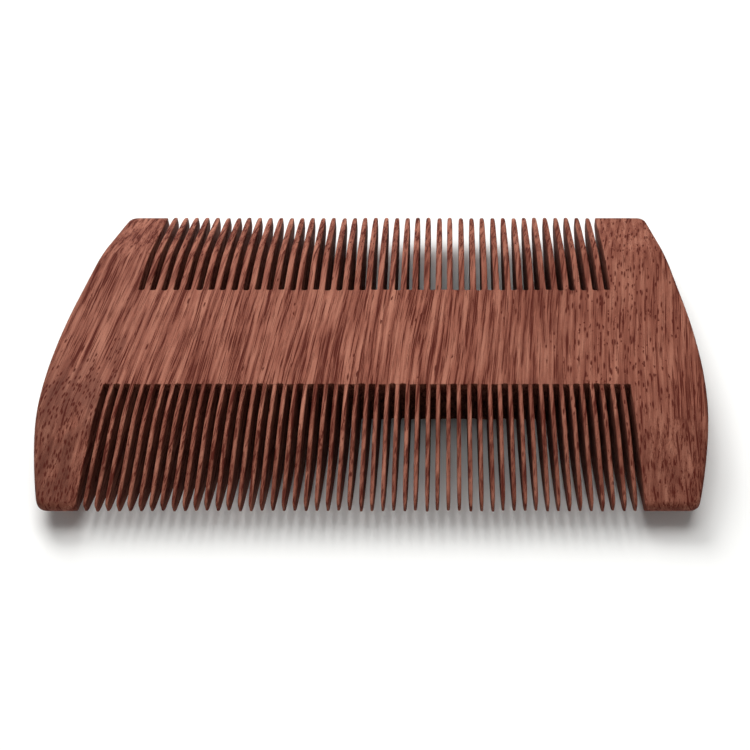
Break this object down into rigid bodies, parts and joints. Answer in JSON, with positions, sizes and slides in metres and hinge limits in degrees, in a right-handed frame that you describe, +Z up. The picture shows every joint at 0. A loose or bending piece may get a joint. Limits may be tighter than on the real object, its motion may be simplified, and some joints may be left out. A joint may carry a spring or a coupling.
{
  "type": "beard comb",
  "caption": "Double-sided pocket beard comb in red-brown hardwood, coarse teeth on one edge and fine teeth on the other, with curved solid end guards.",
  "frame": {"origin": "middle of the comb's underside, on the surface it lies on", "axes": "+X along the length, towards the wider end guard; +Y towards the coarse teeth; +Z up"},
  "size_m": [0.0904, 0.06, 0.007],
  "materials": {
    "wood": "sanded and lightly oiled, satin"
  },
  "bodies": {
    "root": {"spine": "wood", "left_end_guard": "wood", "right_end_guard": "wood", "coarse_teeth": "wood", "fine_teeth": "wood"}
  },
  "joints": []
}
